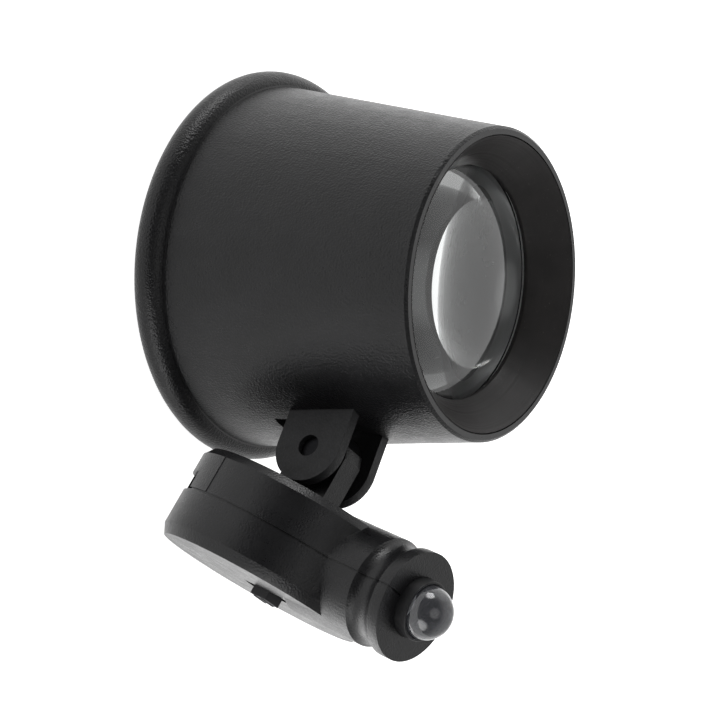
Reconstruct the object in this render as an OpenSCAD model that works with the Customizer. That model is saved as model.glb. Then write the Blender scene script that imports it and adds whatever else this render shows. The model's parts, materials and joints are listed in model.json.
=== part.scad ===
// Jeweller's eye loupe with a hinged lamp.
// The eyecup stands on its eye rim with the optical axis along +Z.
// The lamp hangs from a fork on the -Y side and tilts about a pin along X.
// All sizes are in millimetres.

/* [Eyecup] */
// Outer radius of the rolled eye rim
rim_r = 19.3; // [18.6:0.1:20]
// Radius of the roll of the eye rim
bead_r = 1.7; // [1.5:0.1:1.8]
// Outer radius of the barrel where it leaves the eye rim
root_r = 17.8; // [17.6:0.1:18]
// Outer radius of the barrel at its front lip
front_r = 14.65; // [14.5:0.05:15]
// Length of the eyecup from eye rim to front lip
eyecup_len = 28.3; // [28:0.1:29]
// Thickness of the barrel's wall behind the lens
wall = 1.6; // [1.4:0.1:1.7]

/* [Lens and front ring] */
// Radius of the lens
lens_r = 11.7; // [11.6:0.05:11.8]
// Radius of curvature of both lens faces
lens_curve = 30; // [27:0.5:34]
// Thickness of the lens at its edge
lens_edge = 2.2; // [2:0.1:2.4]
// Radius of the opening at the bottom of the front ring's funnel
aperture_r = 11; // [10.8:0.05:11.1]
// Outer radius of the front ring
ring_r = 13.85; // [13.8:0.05:13.9]
// Depth of the funnel
funnel_depth = 3.4; // [3:0.1:3.5]
// Depth of the front ring from the front lip
ring_depth = 4.1; // [4:0.1:4.3]

/* [Lamp bracket] */
// Distance of the lamp's hinge axis from the optical axis
pivot_y = 19.4; // [19.3:0.1:19.8]
// Height of the lamp's hinge axis above the eye rim
pivot_z = 16.7; // [16.4:0.1:17]
// Width of each ear, along the optical axis
ear_w = 7; // [6.6:0.1:7.4]
// Thickness of each ear
ear_t = 1.1; // [1:0.05:1.2]
// Width of the fork over both ears
fork_w = 6.65; // [6.6:0.05:6.8]
// Radius of the hinge pin
pin_r = 1; // [0.9:0.05:1.1]

/* [Lamp case] */
// Angle between the lamp and the optical axis at rest
lamp_tilt = 12; // [0:1:15]
// Distance from the hinge axis down to the joint between the case halves
case_drop = 8.9; // [8.8:0.1:9.4]
// Radius of the round part of the case
case_r = 10.45; // [10.4:0.05:10.6]
// Distance of the round part's centre ahead of the hinge axis
case_z = 0.5; // [0:0.1:0.8]
// Height of the upper half of the case
upper_h = 4.4; // [4.3:0.1:4.5]
// Height of the lower half of the case
lower_h = 4.5; // [4.4:0.1:4.6]
// Distance from the hinge axis to the lamp's front face
face_z = 17; // [16.5:0.1:17.5]
// Radius of the nose and of its front disc
nose_r = 5.05; // [5:0.05:5.2]
// Thickness of the tongue between the ears
tongue_t = 2.7; // [2.6:0.1:3]

/* [Light and switch] */
// Radius of the light-emitting diode's body
led_r = 2.45; // [2.4:0.05:2.5]
// How far the diode's straight part and its sleeve stand out of the front face
led_out = 1.2; // [0.6:0.1:1.4]
// Radius of a button cell
cell_r = 8; // [7.8:0.1:8]
// Thickness of a button cell
cell_h = 2; // [1.9:0.1:2]
// Travel of the slide switch each way from the middle of its slot
switch_travel = 1.3; // [1:0.1:1.4]

/* [Hidden] */
$fn = 96;

eps = 0.01;             // overlap that keeps cuts clean
gap = 0.05;             // clearance between fitted pieces
big = 60;               // longer than any piece

// Eyecup
rim_cut = 0.1;                              // flat on the eye rim that the loupe stands on
bead_in = rim_r - bead_r;                   // radius of the roll's centre line
bead_z = bead_r - rim_cut;
bead_top = bead_z + bead_r;
taper = (root_r - front_r) / (eyecup_len - bead_top);
cup_mouth_r = bead_in - bead_r;             // inner radius at the eye rim
mouth_land = 3;                             // length of the straight bore in the eye rim
ring_z = eyecup_len - ring_depth;           // back face of the front ring
lens_z = ring_z - gap - lens_edge;          // back of the lens's edge
seat_r = 11.2;                              // bore of the collar that the lens sits on
seat_z = 16.1;                              // eye end of that collar
throat_z = 15.6;                            // where the cavity ends
throat_r = outer_r(throat_z) - wall;
lens_sag = sag(lens_curve, lens_r);
seat_drop = lens_sag - sag(lens_curve, seat_r) + gap;
lip_break = 0.25;                           // bevel on the front lip
ring_break = 0.1;                           // bevel on the front ring's rim
ring_relief = 0.3;                          // hollow behind the front ring that clears the lens

// Bracket and its slot
ear_in = fork_w / 2 - ear_t;                // inner face of each ear
ear_z0 = pivot_z - ear_w / 2;
foot_top = 15.4;                            // floor between the ears
foot_bottom = 14.7;                         // inner end of the foot
key_w = 3.8;                                // width of the slot's narrow rear end
key_len = 2.5;                              // length of the slot's narrow rear end
key_t = 0.9;                                // thickness of the foot's rear key
pin_len = 5.5;

// Lamp case, with its origin on the hinge axis
top_y = upper_h - case_drop;                // top face
bottom_y = -case_drop - lower_h;            // bottom face
top_bevel = 0.75;
bottom_bevel = 1;
bevel_in = 0.5;                             // how far both bevels step in
seam_w = 0.1;                               // width of the seam's groove in each half
seam_depth = 0.14;
plate_t = 1.2;                              // thickness of top and bottom plates
cavity_r = 8.6;
rim_in = 9.3;                               // outer radius of the locating rim
rim_h = 0.8;
groove_r = 1.7;                             // section radius of the nose's groove
groove_min = 4.5;                           // nose radius at the bottom of the groove
groove_back = 2.4;                          // groove centre behind the front face
nose_back = 5;                              // where the nose starts, ahead of the round part's centre
tongue_r = 2.95;
tongue_sides = 16;
boss_r = 1.9;
pad_out = 0.06;                             // raised grip at the rear of the upper half
pad_front = -1.9;                           // front edge of the grip, from the hinge axis
pry_w = 5.5;                                // notch for opening the case with a coin
pry_h = 1.7;
pry_depth = 0.7;
pry_angle = 44;                             // how far round from the rear the notch lies

// Diode
sleeve_r = led_r + gap + 0.25;              // outer radius of the black sleeve round the diode
led_len = 8.7;                              // whole length of the diode's body
led_flange_r = 2.9;
led_flange_t = 1;
led_base = face_z + led_out + led_r - led_len;
lead_w = 0.5;
lead_pitch = 2.54;
lead_tail = 2.6;                            // length of the leads behind the body
lead_leg_h = 3;                             // how far both leads stand straight inside the body
post_z = led_base + 2.6;                    // where the leads widen into their posts
anvil_gap = 0.35;                           // gap between the two posts, each side of a shared line
anvil_line = 0.775;
anvil_top = led_base + 5.1;                 // top of the cup that holds the chip
anvil_h = 1;
chip_w = 0.34;
chip_t = 0.2;
cup_depth = 0.5;
tunnel_r = 3.1;

// Cells and contacts, measured from the joint between the case halves
stack_top = 2.6;
seal_t = 0.35;
cap_r = 6.4;                                // radius of the cap's raised face
can_t = 0.3;
can_edge = 0.2;                             // bevel round the can's flat face
crimp_in = 0.6;                             // how far the can's lip is turned in
crimp_drop = 0.1;                           // how far the lip lies below the cap's face
cap_edge = 0.15;
strip_t = 0.25;
strip_w = 3;
strip_back = 5;                             // how far the strips reach behind the centre
cell_strip_end = 1.4;                       // the strips that the switch joins, from the centre
cathode_strip_start = 3.9;

cell_strip_y = stack_top - 2 * cell_h;
cathode_strip_y = -lead_pitch / 2 - lead_w / 2;

// Switch
knob_len = 2;
knob_w = 2.2;
knob_out = 0.8;
knob_z = 1.8;                               // centre at rest, from the hinge axis
slot_reach = knob_len / 2 + switch_travel + gap;
slider_t = 0.8;
slider_reach = slot_reach + switch_travel;  // half length of the plate that keeps the slot closed
stop_t = 0.8;                               // ribs that end the slider's travel
grip_ribs = 2;
rib_out = 0.12;
rib_w = 0.35;
rib_pitch = 0.95;
wiper_w = 2.4;                              // width of the contact that the slider carries
wiper_len = 4.6;
wiper_foot = 0.5;

function outer_r(z) = root_r - taper * (z - bead_top);
// Depth of a spherical face of radius of curvature c, out to radius r.
function sag(c, r) = c - sqrt(pow(c, 2) - pow(r, 2));

// Places lamp pieces, which are drawn about the hinge axis.
module at_lamp() {
    translate([0, -pivot_y, pivot_z])
        rotate([lamp_tilt, 0, 0])
            children();
}

// A cylinder or cone about the case's own upright axis, from y0 to y1.
module case_disc(y0, y1, r0, r1) {
    translate([0, y0, case_z])
        rotate([-90, 0, 0])
            cylinder(h = y1 - y0, r1 = r0, r2 = r1);
}

// A box given by its centre across X and its limits along Y and Z.
module box(w, y0, y1, z0, z1) {
    translate([-w / 2, y0, z0])
        cube([w, y1 - y0, z1 - z0]);
}

// ---- Eyecup and optics ----

module eyecup() {
    color("#1d1d1f")
        difference() {
            union() {
                rotate_extrude()
                    intersection() {
                        translate([bead_in, bead_z])
                            circle(r = bead_r);
                        translate([cup_mouth_r - 1, 0])
                            square([2 * bead_r + 2, bead_top + 1]);
                    }
                rotate_extrude()
                    polygon([
                        [cup_mouth_r, bead_z], [bead_in, bead_z], [bead_in, bead_top - eps],
                        [root_r, bead_top], [front_r + taper * lip_break, eyecup_len - lip_break],
                        [front_r - lip_break, eyecup_len], [ring_r + gap, eyecup_len],
                        [ring_r + gap, ring_z], [lens_r + gap, ring_z],
                        [lens_r + gap, lens_z - gap], [seat_r, lens_z - seat_drop],
                        [seat_r, seat_z], [throat_r, throat_z],
                        [cup_mouth_r, bead_z + mouth_land]]);
            }
            bracket_slot();
        }
}

// Window in the barrel's wall that the bracket's foot is pushed through.
module bracket_slot() {
    box(fork_w + 2 * gap, -rim_r, gap - foot_bottom, ear_z0 - gap, ear_z0 + ear_w + gap);
    box(key_w, -rim_r, gap - foot_bottom, ear_z0 - key_len, ear_z0 + eps);
}

module front_ring() {
    funnel_z = eyecup_len - funnel_depth;
    color("#232325")
        rotate_extrude()
            polygon([
                [aperture_r, ring_z + ring_relief], [aperture_r, funnel_z],
                [ring_r - ring_break, eyecup_len - eps], [ring_r, eyecup_len - ring_break],
                [ring_r, ring_z], [lens_r, ring_z]]);
}

module lens() {
    color("#dfe8ec", 0.35)
        intersection() {
            translate([0, 0, lens_z + lens_edge + lens_sag - lens_curve])
                sphere(r = lens_curve);
            translate([0, 0, lens_z - lens_sag + lens_curve])
                sphere(r = lens_curve);
            translate([0, 0, lens_z - lens_sag])
                cylinder(r = lens_r, h = lens_edge + 2 * lens_sag);
        }
}

// ---- Lamp bracket and hinge pin ----

module ear() {
    difference() {
        union() {
            translate([ear_in, -pivot_y, pivot_z])
                rotate([0, 90, 0])
                    cylinder(r = ear_w / 2, h = ear_t);
            translate([ear_in, -pivot_y, ear_z0])
                cube([ear_t, pivot_y - foot_bottom, ear_w]);
        }
        translate([0, -pivot_y, pivot_z])
            rotate([0, 90, 0])
                cylinder(r = pin_r + gap, h = big);
    }
}

module lamp_bracket() {
    color("#2a2a2c") {
        ear();
        mirror([1, 0, 0])
            ear();
        box(2 * ear_in + 2 * eps, -foot_top, -foot_bottom, ear_z0, ear_z0 + ear_w);
        box(key_w - 2 * gap, -foot_bottom - key_t, -foot_bottom,
            ear_z0 - key_len + gap, ear_z0 + eps);
    }
}

module pivot_pin() {
    color("#303033")
        at_lamp()
            translate([-pin_len / 2, 0, 0])
                rotate([0, 90, 0])
                    cylinder(r = pin_r, h = pin_len);
}

// ---- Lamp case ----

// Section of the tongue, drawn with the case's upright axis along the sketch's X.
module tongue_section() {
    polygon([for (i = [0:tongue_sides - 1])
        let (a = (i + 0.5) * 360 / tongue_sides)
        tongue_r / cos(180 / tongue_sides) * [cos(a), sin(a)]]);
    translate([top_y - eps, -tongue_r])
        square([-top_y + eps, 2 * tongue_r]);
}

module tongue() {
    difference() {
        union() {
            translate([-tongue_t / 2, 0, 0])
                rotate([90, 0, 90])
                    linear_extrude(height = tongue_t)
                        tongue_section();
            translate([gap - ear_in, 0, 0])
                rotate([0, 90, 0])
                    cylinder(r = boss_r, h = 2 * (ear_in - gap));
        }
        translate([-big / 2, 0, 0])
            rotate([0, 90, 0])
                cylinder(r = pin_r, h = big);
    }
}

// The whole nose, shrunk by inset all round.
module nose_solid(inset) {
    translate([0, -case_drop, 0])
        rotate_extrude()
            difference() {
                translate([0, case_z + nose_back])
                    square([nose_r - inset, face_z - inset - case_z - nose_back]);
                translate([groove_min + groove_r - inset, face_z - groove_back])
                    circle(r = groove_r);
            }
}

// Room for the diode, its flange and the wiring behind it.
module nose_hollow() {
    translate([0, -case_drop, 0]) {
        cylinder(r = sleeve_r + gap, h = face_z + 1);
        cylinder(r = led_flange_r + gap, h = led_base + led_flange_t + gap);
        cylinder(r = tunnel_r, h = led_base - 2 * gap);
    }
}

// Everything above the case's joint for side = 1, and below it for side = -1, less a layer.
module half_space(side, layer) {
    y0 = side > 0 ? layer - case_drop : -case_drop - layer - big;
    box(2 * big, y0, y0 + big, -big, big);
}

// Half of the nose, with its half of the seam's groove.
module nose_half(side) {
    intersection() {
        nose_solid(0);
        half_space(side, seam_w);
    }
    intersection() {
        nose_solid(seam_depth);
        half_space(side, 0);
    }
}

module upper_case() {
    color("#222224")
        at_lamp() {
            difference() {
                union() {
                    case_disc(-case_drop, top_y - top_bevel, case_r - seam_depth, case_r - seam_depth);
                    case_disc(seam_w - case_drop, top_y - top_bevel, case_r, case_r);
                    case_disc(top_y - top_bevel, top_y, case_r, case_r - bevel_in);
                    rear_grip();
                    nose_half(1);
                }
                case_disc(-case_drop - eps, top_y - plate_t, cavity_r, cavity_r);
                case_disc(-case_drop - eps, -case_drop + rim_h + gap, rim_in + gap, rim_in + gap);
                nose_hollow();
                pry_notch();
            }
            tongue();
        }
}

// Slightly raised band round the rear of the upper half.
module rear_grip() {
    intersection() {
        case_disc(seam_w - case_drop, top_y - top_bevel, case_r + pad_out, case_r + pad_out);
        box(2 * big, -big, big, -big, pad_front);
    }
}

module pry_notch() {
    translate([0, -case_drop, case_z])
        rotate([0, pry_angle, 0])
            box(pry_w, -eps, pry_h, -case_r - 1, pry_depth - case_r);
}

module lower_case() {
    floor_y = bottom_y + plate_t;
    stop = slider_reach + switch_travel + gap;
    color("#222224")
        at_lamp() {
            difference() {
                union() {
                    case_disc(bottom_y, bottom_y + bottom_bevel, case_r - bevel_in, case_r);
                    case_disc(bottom_y + bottom_bevel, -case_drop, case_r - seam_depth, case_r - seam_depth);
                    case_disc(bottom_y + bottom_bevel, -case_drop - seam_w, case_r, case_r);
                    nose_half(-1);
                }
                case_disc(floor_y, -case_drop + eps, cavity_r, cavity_r);
                nose_hollow();
                box(knob_w + 2 * gap, bottom_y - 1, floor_y + eps, knob_z - slot_reach, knob_z + slot_reach);
            }
            locating_rim();
            box(knob_w, floor_y - eps, floor_y + slider_t, knob_z - stop - stop_t, knob_z - stop);
            box(knob_w, floor_y - eps, floor_y + slider_t, knob_z + stop, knob_z + stop + stop_t);
        }
}

// Upstanding rim that centres the two halves on each other.
module locating_rim() {
    difference() {
        case_disc(-case_drop - 1, -case_drop + rim_h, rim_in, rim_in);
        case_disc(-case_drop - 2, -case_drop + rim_h + 1, cavity_r, cavity_r);
        box(2 * tunnel_r, -case_drop - 2, -case_drop + 2, 0, big);
    }
}

// ---- Light-emitting diode ----

// Black tube that holds the diode in the nose.
module led_sleeve() {
    z0 = led_base + led_flange_t + gap;
    color("#161617")
        on_lamp_axis()
            translate([0, 0, z0])
                difference() {
                    cylinder(r = sleeve_r, h = face_z + led_out - z0);
                    translate([0, 0, -1])
                        cylinder(r = led_r + gap, h = big);
                }
}

module led_body() {
    color("#e8eef2", 0.4)
        at_lamp()
            translate([0, -case_drop, 0])
                difference() {
                    union() {
                        translate([0, 0, face_z + led_out])
                            sphere(r = led_r);
                        translate([0, 0, led_base])
                            cylinder(r = led_r, h = face_z + led_out - led_base);
                        translate([0, 0, led_base])
                            cylinder(r = led_flange_r, h = led_flange_t);
                    }
                    cathode_shape();
                    anode_shape();
                    chip_shape();
                }
}

// Leads stand one above the other, a pitch apart, about the diode's axis.
module lead_leg(side) {
    box(lead_w, side * lead_pitch / 2 - lead_w / 2, side * lead_pitch / 2 + lead_w / 2,
        led_base - lead_tail, led_base + lead_leg_h);
}

// The post under the cup ends half a gap short of the line between the posts.
module cathode_shape() {
    lead_leg(-1);
    box(lead_w, -lead_pitch / 2 - lead_w / 2, anvil_line - anvil_gap / 2, post_z, anvil_top - anvil_h);
    difference() {
        translate([0, 0, anvil_top - anvil_h])
            cylinder(r1 = 0.4, r2 = 0.58, h = anvil_h);
        translate([0, 0, anvil_top - cup_depth])
            cylinder(r1 = 0.3, r2 = 0.45, h = cup_depth + eps);
    }
}

module anode_shape() {
    lead_leg(1);
    box(lead_w, anvil_line + anvil_gap / 2, lead_pitch / 2 + lead_w / 2, post_z, anvil_top - chip_t);
}

module chip_shape() {
    box(chip_w, -chip_w / 2, chip_w / 2, anvil_top - cup_depth, anvil_top - cup_depth + chip_t);
}

module on_lamp_axis() {
    at_lamp()
        translate([0, -case_drop, 0])
            children();
}

module led_cathode() {
    color("#c8c8c4")
        on_lamp_axis()
            cathode_shape();
}

module led_anode() {
    color("#c8c8c4")
        on_lamp_axis()
            anode_shape();
}

module led_chip() {
    color("#e6c94a")
        on_lamp_axis()
            chip_shape();
}

// ---- Button cells ----

// Each cell's cap faces down, and its can wraps the side and the top.
module cell_space(level) {
    on_lamp_axis()
        translate([0, stack_top - level * cell_h, case_z])
            rotate([90, 0, 0])
                children();
}

module cell_can(level) {
    lip_z = cell_h - crimp_drop;
    color("#c9cbcc")
        cell_space(level)
            rotate_extrude()
                polygon([
                    [0, 0], [cell_r - can_edge, 0], [cell_r, can_edge],
                    [cell_r, lip_z - crimp_drop], [cell_r - can_t, lip_z], [cell_r - crimp_in, lip_z],
                    [cell_r - crimp_in, lip_z - can_t / 2], [cell_r - can_t, lip_z - can_t],
                    [cell_r - can_t, can_t], [0, can_t]]);
}

module cell_seal(level) {
    lip_z = cell_h - crimp_drop;
    inner_r = cell_r - can_t - seal_t;
    color("#3a3a3c")
        cell_space(level)
            rotate_extrude()
                polygon([
                    [cell_r - can_t, can_t], [cell_r - can_t, lip_z - can_t],
                    [cell_r - crimp_in, lip_z - can_t / 2], [cell_r - crimp_in, lip_z],
                    [cap_r, lip_z], [cap_r, lip_z - can_t],
                    [inner_r, can_t + seal_t], [inner_r, can_t]]);
}

module cell_cap(level) {
    lip_z = cell_h - crimp_drop;
    inner_r = cell_r - can_t - seal_t;
    color("#b9bbbd")
        cell_space(level)
            rotate_extrude()
                polygon([
                    [0, can_t], [inner_r, can_t], [inner_r, can_t + seal_t],
                    [cap_r, lip_z - can_t], [cap_r, lip_z], [cap_r - cap_edge, cell_h], [0, cell_h]]);
}

// ---- Contacts ----

// Strip over the upper cell that steps down to the diode's anode lead.
module anode_contact() {
    lead_top = lead_pitch / 2 + lead_w / 2;
    bend_z = case_z + cell_r + gap;
    color("#c9a34e")
        on_lamp_axis() {
            box(strip_w, stack_top, stack_top + strip_t, case_z - strip_back, bend_z + strip_t);
            box(strip_w, lead_top, stack_top + eps, bend_z, bend_z + strip_t);
            box(strip_w, lead_top, lead_top + strip_t, bend_z, led_base - 4 * gap);
        }
}

// Strip under the lower cell.
module cell_contact() {
    color("#c9a34e")
        on_lamp_axis()
            box(strip_w, cell_strip_y - strip_t, cell_strip_y,
                case_z - strip_back, case_z + cell_strip_end);
}

// Strip under the diode's cathode lead, which the switch joins to the cell's strip.
module cathode_contact() {
    color("#c9a34e")
        on_lamp_axis()
            box(strip_w, cathode_strip_y - strip_t, cathode_strip_y,
                case_z + cathode_strip_start, led_base - 4 * gap);
}

// ---- Slide switch ----

module switch_knob() {
    floor_y = bottom_y + plate_t;
    z0 = knob_z - knob_len / 2;
    color("#252527")
        at_lamp() {
            box(knob_w, bottom_y - knob_out, floor_y + gap, z0, z0 + knob_len);
            box(2 * knob_w, floor_y + gap, floor_y + slider_t, knob_z - slider_reach, knob_z + slider_reach);
            for (i = [0:grip_ribs - 1])
                translate([0, 0, z0 + rib_w + i * rib_pitch])
                    box(knob_w - rib_w, bottom_y - knob_out - rib_out, bottom_y - knob_out + eps, 0, rib_w);
        }
}

// Bridge that touches the cell's strip at both ends of its travel, and the cathode's at one.
module switch_contact() {
    y0 = plate_t + slider_t - lower_h;
    z0 = knob_z - wiper_len / 2;
    z1 = knob_z + wiper_len / 2;
    color("#c9a34e")
        on_lamp_axis() {
            box(wiper_w, y0, y0 + strip_t, z0, z1);
            box(wiper_w, y0, cell_strip_y - strip_t - gap, z0, z0 + wiper_foot);
            box(wiper_w, y0, cathode_strip_y - strip_t - gap, z1 - wiper_foot, z1);
        }
}

eyecup();
front_ring();
lens();
lamp_bracket();
pivot_pin();
upper_case();
lower_case();
led_sleeve();
led_body();
led_anode();
led_cathode();
led_chip();
cell_can(0);  // upper_cell_can
cell_seal(0);  // upper_cell_seal
cell_cap(0);  // upper_cell_cap
cell_can(1);  // lower_cell_can
cell_seal(1);  // lower_cell_seal
cell_cap(1);  // lower_cell_cap
anode_contact();
cell_contact();
cathode_contact();
switch_knob();
switch_contact();
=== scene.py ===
"""Looks of the eye loupe: camera, studio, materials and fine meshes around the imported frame."""

import json
import math

import bmesh
import bpy
from mathutils import Matrix, Vector

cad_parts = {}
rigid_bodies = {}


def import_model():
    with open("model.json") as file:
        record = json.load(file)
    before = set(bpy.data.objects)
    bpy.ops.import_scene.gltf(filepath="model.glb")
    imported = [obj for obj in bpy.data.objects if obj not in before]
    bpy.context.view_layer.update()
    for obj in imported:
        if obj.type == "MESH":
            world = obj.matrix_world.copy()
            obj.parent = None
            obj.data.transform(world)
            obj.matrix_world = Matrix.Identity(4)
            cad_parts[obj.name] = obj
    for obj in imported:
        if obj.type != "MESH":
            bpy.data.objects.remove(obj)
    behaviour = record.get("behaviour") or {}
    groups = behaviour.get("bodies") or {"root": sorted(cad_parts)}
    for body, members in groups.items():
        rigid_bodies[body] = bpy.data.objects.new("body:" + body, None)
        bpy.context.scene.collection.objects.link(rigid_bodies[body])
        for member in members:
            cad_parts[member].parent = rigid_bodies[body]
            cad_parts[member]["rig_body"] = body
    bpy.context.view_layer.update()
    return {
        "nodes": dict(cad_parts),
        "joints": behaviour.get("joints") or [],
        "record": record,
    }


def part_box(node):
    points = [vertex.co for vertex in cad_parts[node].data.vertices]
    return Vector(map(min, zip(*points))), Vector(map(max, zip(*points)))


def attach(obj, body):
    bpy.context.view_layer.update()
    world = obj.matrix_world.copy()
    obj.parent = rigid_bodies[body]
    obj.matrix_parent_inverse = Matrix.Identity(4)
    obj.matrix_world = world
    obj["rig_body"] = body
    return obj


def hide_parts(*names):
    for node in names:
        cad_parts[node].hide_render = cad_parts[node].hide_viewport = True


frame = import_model()
MM = 0.001

# ---- Values read from the frame ----
JOINTS = {j["name"]: j for j in frame["joints"]}
MOUNTS = {m["name"]: m for m in frame["record"]["mounts"]}
SLOTS = {s["node"]: s["material_slot"] for s in frame["record"]["subparts"]}
PIVOT = Vector(JOINTS["lamp_hinge"]["pos_m"])
LAMP_X = Vector((1, 0, 0))
LAMP_Z = Vector(JOINTS["switch_slide"]["axis"]).normalized()
LAMP_Y = LAMP_Z.cross(LAMP_X)
# the lamp's own directions, about the hinge axis
LAMP = Matrix.Translation(PIVOT) @ Matrix((LAMP_X, LAMP_Y, LAMP_Z)).transposed().to_4x4()

# ---- Camera ----
CAM_PLACE = Vector((-152.98, -74.24, 134.52)) * MM
CAM_RIGHT = Vector((0.48552, 0.32675, 0.81087))
CAM_UP = Vector((-0.44774, 0.88958, -0.09038))
CAM_LENS = 107.33
CAM_SENSOR = 36
CAM_CLIP = (0.01, 5)

# ---- Studio, with floor sizes in millimetres ----
SURROUND = 0.13                         # brightness of the dim parts of the studio
# name: direction, cosines at which its soft edge starts and ends, brightness
LOBES = {
    "bright_side": ((0.92, 0.38, 0.02), -0.1, 0.6, 0.95),
    "key": ((-0.45, 0.87, 0.20), 0.955, 0.985, 9.0),
    "above": ((0.0, 1.0, -0.05), 0.6, 0.98, 0.8),
    "below": ((-0.25, -0.95, 0.05), 0.86, 0.97, 5.0),
    "front": ((-0.35, -0.1, 0.95), 0.9, 0.98, 1.2),
    "haze": ((0.24, -0.8, 0.56), 0.8, 0.97, 0.2),
}
FLOOR_HALF = 2500
FLOOR_WHITE = (0.9, 0.9, 0.9, 1)
FLOOR_ROUGH = 0.9
FLOOR_GLOW = 0.9                        # brightness of the open floor
CUP_GLOW = 0.2                          # brightness of the floor in the shade inside the eyecup
CUP_SHADE_R = MOUNTS["eye_mouth"]["dims"]["r_mm"]
CUP_SHADE_CORE = 0.8                    # share of that radius which is fully shaded
# a brighter patch of floor beside the lamp
PATCH_PLACE = (10, -66, 0)
PATCH_START, PATCH_END = 10, 29         # distances between which it fades out
PATCH_GLOW = 3.4

# ---- Fine meshes, in millimetres unless said otherwise ----
SNAP = 2e-7                             # metres within which points, heights and radii are the same
FLAT_ANGLE = 0.6                        # degrees below which neighbouring faces are one
ARC_CUTS = 3                            # points added along each edge of a circle
MAX_STEP = 20                           # most degrees that an edge of a circle spans
MAX_PUSH = 6e-5                         # most metres that an added point moves out
BORE_START = 2.0                        # height at which the eyecup's smooth inside starts
LENS_CURVE = 30.0
LENS_EDGE = 2.2
LENS_CHAMFER = 0.15
LENS_RINGS, LENS_SEGMENTS = 40, 192
LED_R, LED_LENGTH = 2.45, 8.7
LED_FLANGE_R, LED_FLANGE_T = 2.9, 1.0
LED_RINGS, LED_SEGMENTS = 32, 96
POLISHED, GROUND = 0, 1                 # material indices on the lens

# ---- Dust colours ----
GREY_DUST = (0.5, 0.48, 0.45)
WARM_DUST = (0.5, 0.47, 0.43)


def link(name, data):
    thing = bpy.data.objects.new(name, data)
    bpy.context.scene.collection.objects.link(thing)
    return thing


def set_range(node, low, high, a, b):
    """Sets a map range node to carry low..high to a..b, clamped."""
    for key, number in (("From Min", low), ("From Max", high), ("To Min", a), ("To Max", b)):
        node.inputs[key].default_value = number


def tint(colour, factor):
    return tuple(factor * c for c in colour)


def make_camera():
    data = bpy.data.cameras.new("camera")
    data.lens = CAM_LENS
    data.sensor_width = CAM_SENSOR
    data.clip_start, data.clip_end = CAM_CLIP
    cam = link("camera", data)
    back = CAM_RIGHT.cross(CAM_UP)
    turn = Matrix((CAM_RIGHT, CAM_UP, back)).transposed().to_4x4()
    cam.matrix_world = Matrix.Translation(CAM_PLACE) @ turn
    bpy.context.scene.camera = cam


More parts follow.
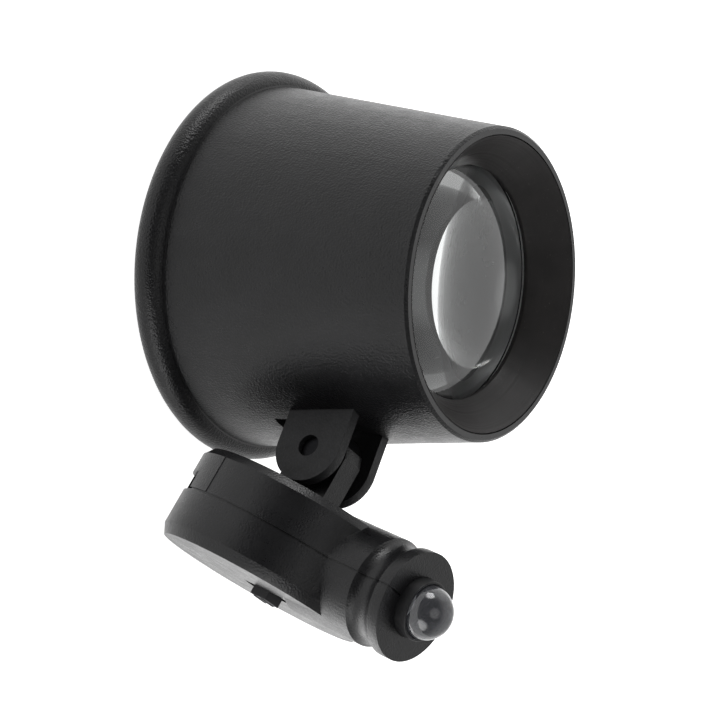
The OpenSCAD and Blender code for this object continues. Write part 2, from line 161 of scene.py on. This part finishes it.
# ---- Materials ----
class Shader:
    """A material under construction, with its coordinates in millimetres."""

    def __init__(self, name):
        self.material = bpy.data.materials.new(name)
        self.material.use_nodes = True
        self.tree = self.material.node_tree
        self.bsdf = self.tree.nodes["Principled BSDF"]
        coords = self.node("ShaderNodeTexCoord")
        scale = self.node("ShaderNodeVectorMath", operation="SCALE")
        self.join(coords.outputs["Object"], scale.inputs[0])
        scale.inputs["Scale"].default_value = 1 / MM
        self.place = scale.outputs["Vector"]
        self.bump_out = None

    def node(self, kind, **settings):
        node = self.tree.nodes.new(kind)
        for key, value in settings.items():
            setattr(node, key, value)
        return node

    def join(self, a, b):
        self.tree.links.new(a, b)

    def set(self, **values):
        for key, value in values.items():
            self.bsdf.inputs[key.replace("_", " ")].default_value = value

    def noise(self, size, detail=2.0, rough=0.5, stretch=None):
        """Fractal noise whose features are about size millimetres wide."""
        node = self.node("ShaderNodeTexNoise")
        node.inputs["Scale"].default_value = 1 / size
        node.inputs["Detail"].default_value = detail
        node.inputs["Roughness"].default_value = rough
        place = self.place
        if stretch:
            mapping = self.node("ShaderNodeMapping")
            mapping.inputs["Scale"].default_value = stretch
            self.join(place, mapping.inputs["Vector"])
            place = mapping.outputs["Vector"]
        self.join(place, node.inputs["Vector"])
        return node.outputs["Fac"]

    def cells(self, size):
        """Rounded cells about size millimetres across, 0 in the middle of each."""
        node = self.node("ShaderNodeTexVoronoi", feature="SMOOTH_F1")
        node.inputs["Scale"].default_value = 1 / size
        node.inputs["Smoothness"].default_value = 0.5
        self.join(self.place, node.inputs["Vector"])
        return node.outputs["Distance"]

    def spread(self, value, low, high, a, b, shape="LINEAR"):
        """Maps value from low..high to a..b, clamped."""
        node = self.node("ShaderNodeMapRange", interpolation_type=shape)
        self.join(value, node.inputs["Value"])
        set_range(node, low, high, a, b)
        return node.outputs["Result"]

    def math(self, operation, a, b):
        node = self.node("ShaderNodeMath", operation=operation)
        for socket, value in zip(node.inputs, (a, b)):
            if isinstance(value, (int, float)):
                socket.default_value = value
            else:
                self.join(value, socket)
        return node.outputs[0]

    def mix(self, factor, a, b):
        """A colour between a and b; each is a colour or a socket."""
        node = self.node("ShaderNodeMix", data_type="RGBA")
        self.join(factor, node.inputs["Factor"])
        for socket, value in ((node.inputs[6], a), (node.inputs[7], b)):
            if isinstance(value, tuple):
                socket.default_value = (*value, 1)
            else:
                self.join(value, socket)
        return node.outputs[2]

    def blotched(self, base, size, rough, low, high):
        """The base colour in slow blotches, low to high times as bright."""
        blotch = self.spread(self.noise(size, 3, rough), 0.35, 0.65, 0, 1)
        return self.mix(blotch, tint(base, low), tint(base, high))

    def dusty(self, ground, dust, size, start, end, amount):
        """Colours the surface with ground, under specks of dust where fine noise passes start."""
        specks = self.spread(self.noise(size, 1, 0.4), start, end, 0, amount)
        self.colour(self.mix(specks, ground, dust))

    def bump(self, height, depth):
        """Adds relief whose full height is depth millimetres."""
        node = self.node("ShaderNodeBump")
        node.inputs["Distance"].default_value = depth * MM
        node.inputs["Strength"].default_value = 1
        self.join(height, node.inputs["Height"])
        if self.bump_out is not None:
            self.join(self.bump_out, node.inputs["Normal"])
        self.bump_out = node.outputs["Normal"]
        self.join(self.bump_out, self.bsdf.inputs["Normal"])

    def colour(self, socket):
        self.join(socket, self.bsdf.inputs["Base Color"])

    def roughness(self, socket):
        self.join(socket, self.bsdf.inputs["Roughness"])


def moulded_plastic(name, base, rough, grain, depth):
    """Black moulded plastic: fine pebbled skin, slow blotches, faint rubbed patches and dust."""
    s = Shader(name)
    s.set(Specular_IOR_Level=0.24)
    s.dusty(s.blotched(base, 6.0, 0.55, 0.8, 1.3), GREY_DUST, 0.12, 0.77, 0.80, 0.02)
    pebble = s.cells(grain)
    rubbed = s.spread(s.noise(1.4, 4, 0.6), 0.3, 0.7, rough - 0.05, rough + 0.05)
    s.roughness(s.math("ADD", rubbed, s.spread(pebble, 0.1, 0.6, -0.04, 0.06)))
    s.bump(pebble, depth)
    s.bump(s.noise(0.5 * grain, 2, 0.5), 0.25 * depth)
    s.bump(s.noise(2.2, 2, 0.5), 0.7 * depth)
    return s.material


def turned_plastic(name, base, rough):
    """Satin black plastic with fine concentric turning marks about Z, and dust."""
    s = Shader(name)
    s.set(Specular_IOR_Level=0.18)
    split = s.node("ShaderNodeSeparateXYZ")
    s.join(s.place, split.inputs[0])
    squares = [s.math("MULTIPLY", axis, axis) for axis in split.outputs[:2]]
    radius = s.math("POWER", s.math("ADD", *squares), 0.5)
    line = s.node("ShaderNodeTexNoise", noise_dimensions="1D")
    line.inputs["Scale"].default_value = 6
    line.inputs["Detail"].default_value = 3
    s.join(radius, line.inputs["W"])
    s.dusty(s.blotched(base, 5.0, 0.6, 0.85, 1.25), WARM_DUST, 0.13, 0.765, 0.79, 0.12)
    s.roughness(s.spread(line.outputs["Fac"], 0.3, 0.7, rough - 0.06, rough + 0.06))
    s.bump(line.outputs["Fac"], 0.006)
    s.bump(s.noise(0.25, 2, 0.5), 0.004)
    return s.material


def smooth_plastic(name, base, rough):
    """Smooth black plastic with slow waviness, fine scuffs and a little dust."""
    s = Shader(name)
    s.set(Specular_IOR_Level=0.4)
    s.dusty(s.blotched(base, 5.0, 0.6, 0.85, 1.15), GREY_DUST, 0.13, 0.765, 0.79, 0.1)
    s.roughness(s.spread(s.noise(0.9, 4, 0.6), 0.3, 0.7, rough - 0.06, rough + 0.06))
    s.bump(s.noise(0.3, 2, 0.5), 0.003)
    return s.material


def lens_glass():
    """Clear polished glass with faint smears and grains of dust."""
    s = Shader("lens_polished_glass")
    s.set(Base_Color=(0.98, 1.0, 0.995, 1), IOR=1.52, Transmission_Weight=1.0)
    smear = s.spread(s.noise(3.0, 3, 0.6), 0.4, 0.75, 0.0, 0.02)
    dust = s.spread(s.noise(0.16, 1, 0.4), 0.78, 0.80, 0.0, 0.25)
    s.roughness(s.math("ADD", smear, dust))
    return s.material


def ground_glass():
    """The lens's frosted rim."""
    s = Shader("lens_ground_edge")
    s.set(Base_Color=(0.85, 0.86, 0.86, 1), IOR=1.52, Transmission_Weight=0.35)
    s.roughness(s.spread(s.noise(0.3, 2, 0.5), 0.3, 0.7, 0.55, 0.75))
    s.bump(s.noise(0.15, 2, 0.5), 0.01)
    return s.material


def epoxy():
    """The diode's clear body, slightly dull and wavy."""
    s = Shader("clear_epoxy")
    s.set(Base_Color=(0.46, 0.47, 0.52, 1), IOR=1.53, Transmission_Weight=0.94)
    s.roughness(s.spread(s.noise(1.2, 2, 0.5), 0.3, 0.7, 0.09, 0.14))
    s.bump(s.noise(1.5, 2, 0.5), 0.003)
    return s.material


def metal(name, base, rough, grain=(1, 1, 1)):
    """Rolled or stamped metal; grain is how much finer its marks are along X, Y and Z."""
    s = Shader(name)
    s.set(Metallic=1.0)
    streak = s.noise(0.25, 3, 0.6, stretch=grain)
    tarnish = s.spread(s.noise(2.5, 3, 0.6), 0.35, 0.7, 0, 1)
    s.colour(s.mix(tarnish, base, tint(base, 0.72)))
    s.roughness(s.spread(streak, 0.3, 0.7, rough - 0.08, rough + 0.08))
    s.bump(streak, 0.004)
    return s.material


def phosphor():
    """The yellow powder over the diode's chip."""
    s = Shader("yellow_phosphor")
    s.colour(s.mix(s.noise(0.08, 2, 0.5), (0.85, 0.66, 0.12), (0.95, 0.8, 0.25)))
    s.roughness(s.spread(s.noise(0.05, 1, 0.5), 0.3, 0.7, 0.5, 0.7))
    s.bump(s.noise(0.05, 1, 0.5), 0.01)
    return s.material


MATERIALS = {
    "barrel_plastic": moulded_plastic("barrel_black", (0.0045, 0.0045, 0.0050), 0.31, 0.19, 0.04),
    "ring_plastic": turned_plastic("ring_black", (0.0150, 0.0138, 0.0136), 0.45),
    "lens_glass": lens_glass(),
    "bracket_plastic": moulded_plastic("bracket_black", (0.0125, 0.0125, 0.0135), 0.5, 0.22, 0.02),
    "pin_steel": metal("blackened_pin", (0.010, 0.010, 0.011), 0.4),
    "case_plastic": moulded_plastic("case_black", (0.0045, 0.0045, 0.0050), 0.3, 0.17, 0.02),
    "sleeve_plastic": moulded_plastic("sleeve_black", (0.004, 0.004, 0.0045), 0.42, 0.2, 0.006),
    "led_epoxy": epoxy(),
    "lead_metal": metal("tinned_lead", (0.62, 0.62, 0.6), 0.35),
    "chip_phosphor": phosphor(),
    "cell_steel": metal("nickel_can", (0.62, 0.62, 0.61), 0.3, (1, 1, 8)),
    "cell_seal": moulded_plastic("nylon_seal", (0.05, 0.05, 0.05), 0.5, 0.2, 0.006),
    "cell_core": metal("nickel_cap", (0.6, 0.6, 0.59), 0.36, (8, 1, 1)),
    "contact_brass": metal("spring_brass", (0.62, 0.44, 0.18), 0.33, (6, 1, 1)),
    "switch_plastic": moulded_plastic("switch_black", (0.012, 0.012, 0.013), 0.5, 0.2, 0.01),
}


# ---- Studio ----
def make_world():
    """A dim surround with the soft bright areas that the surfaces reflect."""
    world = bpy.data.worlds.new("studio")
    world.use_nodes = True
    nodes, links = world.node_tree.nodes, world.node_tree.links
    background = nodes["Background"]
    background.inputs["Color"].default_value = (1, 1, 1, 1)
    coords = nodes.new("ShaderNodeTexCoord")
    total = None
    for direction, start, end, strength in LOBES.values():
        facing = nodes.new("ShaderNodeVectorMath")
        facing.operation = "DOT_PRODUCT"
        facing.inputs[1].default_value = Vector(direction).normalized()
        ramp = nodes.new("ShaderNodeMapRange")
        ramp.interpolation_type = "SMOOTHSTEP"
        set_range(ramp, start, end, 0, strength)
        links.new(coords.outputs["Generated"], facing.inputs[0])
        links.new(facing.outputs["Value"], ramp.inputs["Value"])
        add = nodes.new("ShaderNodeMath")
        add.inputs[1].default_value = SURROUND
        if total is not None:
            links.new(total, add.inputs[1])
        links.new(ramp.outputs["Result"], add.inputs[0])
        total = add.outputs[0]
    links.new(total, background.inputs["Strength"])
    bpy.context.scene.world = world


def floor_white():
    """Glowing white, darker in the eyecup's shade and brighter in one patch."""
    s = Shader("floor_white")
    s.set(Base_Color=FLOOR_WHITE, Roughness=FLOOR_ROUGH, Specular_IOR_Level=0, Emission_Color=(1, 1, 1, 1))
    radius = s.node("ShaderNodeVectorMath", operation="LENGTH")
    s.join(s.place, radius.inputs[0])
    shade = s.spread(radius.outputs["Value"], CUP_SHADE_CORE * CUP_SHADE_R, CUP_SHADE_R, CUP_GLOW, FLOOR_GLOW)
    away = s.node("ShaderNodeVectorMath", operation="DISTANCE")
    away.inputs[1].default_value = PATCH_PLACE
    s.join(s.place, away.inputs[0])
    patch = s.spread(away.outputs["Value"], PATCH_START, PATCH_END, PATCH_GLOW, 0, shape="SMOOTHSTEP")
    s.join(s.math("ADD", shade, patch), s.bsdf.inputs["Emission Strength"])
    return s.material


def make_floor():
    mesh = bpy.data.meshes.new("floor")
    h = FLOOR_HALF * MM
    mesh.from_pydata([(-h, -h, 0), (h, -h, 0), (h, h, 0), (-h, h, 0)], [], [(0, 1, 2, 3)])
    mesh.materials.append(floor_white())
    link("floor", mesh)


# ---- Meshes ----
def round_out(bm, origin, axis):
    """Adds points along every circle about an axis, so that facets no longer show."""
    def polar(point):
        arm = point - origin
        height = arm.dot(axis)
        return height, arm - height * axis

    def level(height):
        return round(height / SNAP / 4)

    def ring_radius(edge):
        (h0, a0), (h1, a1) = polar(edge.verts[0].co), polar(edge.verts[1].co)
        same = abs(h0 - h1) < SNAP and abs(a0.length - a1.length) < SNAP and a0.length > MM
        return a0.length if same and a0.angle(a1) < math.radians(MAX_STEP) else None

    arcs = [(edge, ring_radius(edge)) for edge in bm.edges]
    arcs = [(edge, radius) for edge, radius in arcs if radius]
    rings = {}
    for edge, radius in arcs:
        rings.setdefault(level(polar(edge.verts[0].co)[0]), set()).add(radius)
    edges = [edge for edge, _ in arcs]
    made = bmesh.ops.subdivide_edges(bm, edges=edges, cuts=ARC_CUTS, use_grid_fill=False)
    for vert in made["geom_inner"]:
        if isinstance(vert, bmesh.types.BMVert):
            height, arm = polar(vert.co)
            key = level(height)
            near = [r for k in (key - 1, key, key + 1) for r in rings.get(k, ())
                    if 0 <= r - arm.length < MAX_PUSH]
            if near:
                vert.co = origin + height * axis + arm.normalized() * min(near)


def add_bevel(piece, width, segments, angle):
    """Rounds the edges that turn by more than angle degrees."""
    bevel = piece.modifiers.new("edges", "BEVEL")
    bevel.width, bevel.segments = width * MM, segments
    bevel.limit_method = "ANGLE"
    bevel.angle_limit = math.radians(angle)


def dress_bore(mesh):
    """Smooth material on the eyecup's lip and inside, and a paler one on the collar behind the lens."""
    lens_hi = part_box("lens")[1]
    mesh.materials.append(smooth_plastic("cup_bore", (0.012, 0.012, 0.0125), 0.3))
    mesh.materials.append(smooth_plastic("cup_collar", (0.16, 0.16, 0.163), 0.34))
    for polygon in mesh.polygons:
        place = polygon.center.copy()
        height, place.z = place.z, 0
        outward = polygon.normal.dot(place.normalized())
        if outward < 0.2 and height > BORE_START * MM:
            faces_axis = outward < -0.9
            behind_lens = place.length < lens_hi.x and height < lens_hi.z
            polygon.material_index = 2 if faces_axis and behind_lens else 1


def soften(node, width, angle=25, axes=()):
    """A copy of a CAD node's solid with its sharp edges rounded."""
    source = frame["nodes"][node]
    mesh = source.data.copy()
    mesh.name = node + "_skin"
    bm = bmesh.new()
    bm.from_mesh(mesh)
    bmesh.ops.remove_doubles(bm, verts=bm.verts, dist=SNAP)
    bmesh.ops.dissolve_limit(bm, angle_limit=math.radians(FLAT_ANGLE), verts=bm.verts, edges=bm.edges)
    for origin, axis in axes:
        round_out(bm, origin, axis)
    bm.to_mesh(mesh)
    bm.free()
    piece = link(node + "_skin", mesh)
    add_bevel(piece, width, 3, angle)
    even = piece.modifiers.new("even_shading", "WEIGHTED_NORMAL")
    even.mode = "FACE_AREA"
    even.weight = 90
    for polygon in mesh.polygons:
        polygon.use_smooth = True
    mesh.materials.clear()
    mesh.materials.append(MATERIALS[SLOTS[node]])
    if node == "eyecup":
        dress_bore(mesh)
    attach(piece, source["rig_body"])
    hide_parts(node)


def revolve(name, profile, segments):
    """A mesh turned about Z from (radius, height, material) points.

    A band of faces takes the material index of the point that it starts from.
    """
    bm = bmesh.new()
    rings = []
    for radius, height, _ in profile:
        turns = [2 * math.pi * i / segments for i in range(segments)] if radius else [0]
        rings.append([bm.verts.new((radius * MM * math.cos(a), radius * MM * math.sin(a), height * MM))
                      for a in turns])
    for (first, then), (_, _, material) in zip(zip(rings, rings[1:]), profile):
        for i in range(segments):
            j = (i + 1) % segments
            if len(first) == 1:
                corners = (first[0], then[j], then[i])
            elif len(then) == 1:
                corners = (first[i], first[j], then[0])
            else:
                corners = (first[i], first[j], then[j], then[i])
            face = bm.faces.new(corners)
            face.material_index = material
            face.smooth = True
    bmesh.ops.recalc_face_normals(bm, faces=bm.faces)
    mesh = bpy.data.meshes.new(name)
    bm.to_mesh(mesh)
    bm.free()
    return link(name, mesh)


def make_lens():
    """The lens on a fine mesh, with polished faces and a ground edge."""
    lo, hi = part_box("lens")
    radius = hi.x / MM
    middle = (lo.z + hi.z) / 2 / MM
    half = LENS_EDGE / 2
    sag = LENS_CURVE - math.sqrt(LENS_CURVE ** 2 - radius ** 2)

    def crown(r):
        """How far each face stands above the middle plane at radius r."""
        return half + sag - LENS_CURVE + math.sqrt(LENS_CURVE ** 2 - r ** 2)

    radii = [(radius - LENS_CHAMFER) * i / LENS_RINGS for i in range(LENS_RINGS + 1)]
    profile = [(r, middle - crown(r), POLISHED) for r in radii[:-1]]
    profile += [(radii[-1], middle - crown(radii[-1]), GROUND),
                (radius, middle - half + LENS_CHAMFER, GROUND),
                (radius, middle + half - LENS_CHAMFER, GROUND)]
    profile += [(r, middle + crown(r), POLISHED) for r in reversed(radii)]
    piece = revolve("lens_fine", profile, LENS_SEGMENTS)
    piece.data.materials.append(MATERIALS["lens_glass"])
    piece.data.materials.append(ground_glass())
    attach(piece, "barrel")
    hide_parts("lens")


def lamp_centre(node):
    """The middle of a lamp node's box, about the hinge axis in the lamp's own directions."""
    lo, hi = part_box(node)
    return LAMP.inverted() @ ((lo + hi) / 2)


def make_diode():
    """The diode's clear body on a fine mesh; its leads and chip stand inside it."""
    axis = lamp_centre("led_chip")
    # the dome's far point is the body's furthest reach along the lamp
    tip = max((LAMP.inverted() @ v.co).z for v in frame["nodes"]["led_body"].data.vertices) / MM
    base, dome = tip - LED_LENGTH, tip - LED_R
    profile = [(0, base), (LED_FLANGE_R, base), (LED_FLANGE_R, base + LED_FLANGE_T),
               (LED_R, base + LED_FLANGE_T), (LED_R, dome)]
    for i in range(1, LED_RINGS):
        a = math.pi / 2 * i / LED_RINGS
        profile.append((LED_R * math.cos(a), dome + LED_R * math.sin(a)))
    profile.append((0, tip))
    piece = revolve("led_fine", [(r, z, 0) for r, z in profile], LED_SEGMENTS)
    piece.data.transform(LAMP @ Matrix.Translation((axis.x, axis.y, 0)))
    add_bevel(piece, 0.05, 2, 50)
    piece.data.materials.append(MATERIALS["led_epoxy"])
    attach(piece, "lamp")
    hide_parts("led_body")


def dress_frame():
    """Gives every CAD node its slot's material."""
    for node, thing in frame["nodes"].items():
        for slot in thing.material_slots:
            slot.material = MATERIALS[SLOTS[node]]


def make_skins():
    """The outer CAD nodes with rounded edges, widths in millimetres."""
    optical = (Vector((0, 0, 0)), Vector((0, 0, 1)))
    cells = (LAMP @ lamp_centre("upper_cell_can"), LAMP_Y)
    nose = (LAMP @ lamp_centre("led_chip"), LAMP_Z)
    soften("eyecup", 0.06, axes=[optical])
    soften("front_ring", 0.03, axes=[optical])
    soften("lamp_bracket", 0.12, axes=[(PIVOT, LAMP_X)])
    soften("upper_case", 0.1, angle=20, axes=[cells, nose])
    soften("lower_case", 0.1, angle=20, axes=[cells, nose])
    soften("led_sleeve", 0.08, axes=[nose])
    soften("switch_knob", 0.12)


bpy.context.scene.view_settings.view_transform = "Standard"
make_camera()
make_world()
make_floor()
dress_frame()
make_skins()
make_lens()
make_diode()
